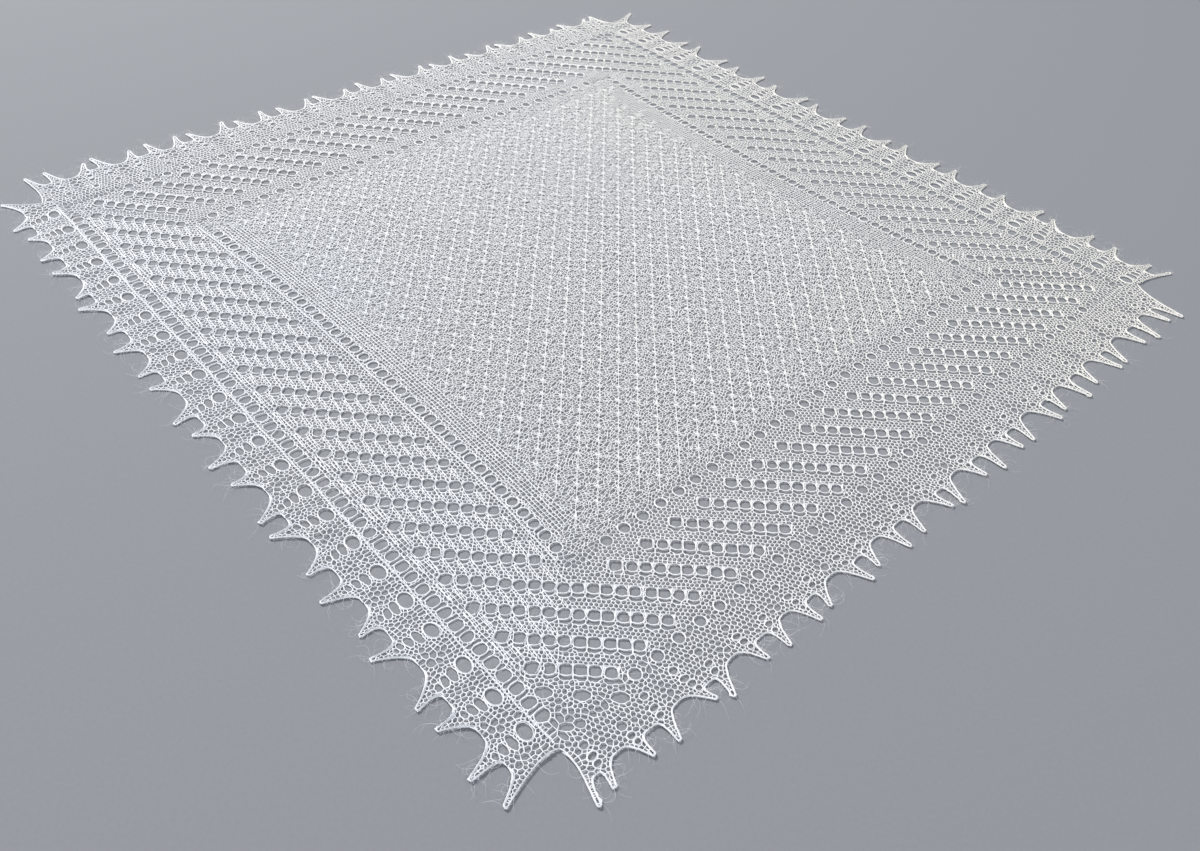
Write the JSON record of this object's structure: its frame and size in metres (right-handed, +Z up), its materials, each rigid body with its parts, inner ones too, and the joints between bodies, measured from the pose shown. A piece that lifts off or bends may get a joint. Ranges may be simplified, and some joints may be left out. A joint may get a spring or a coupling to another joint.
{
  "type": "square lace shawl",
  "caption": "Square knitted lace shawl pinned out flat on its diagonal, with mitred eyelet borders and a toothed edging all round.",
  "frame": {"origin": "on the underside, below the middle of the pinned-out shawl", "axes": "+X along the knitted rows towards the right corner, +Y towards the far corner, +Z up out of the cloth"},
  "size_m": [1.598, 1.5284, 0.002],
  "materials": {
    "centre_wool": "matte",
    "border_wool": "matte",
    "edging_wool": "matte"
  },
  "bodies": {
    "root": {"centre_panel": "centre_wool", "border_near_left": "border_wool", "border_near_right": "border_wool", "border_far_right": "border_wool", "border_far_left": "border_wool", "edging_near_left": "edging_wool", "edging_near_right": "edging_wool", "edging_far_right": "edging_wool", "edging_far_left": "edging_wool"}
  },
  "joints": []
}
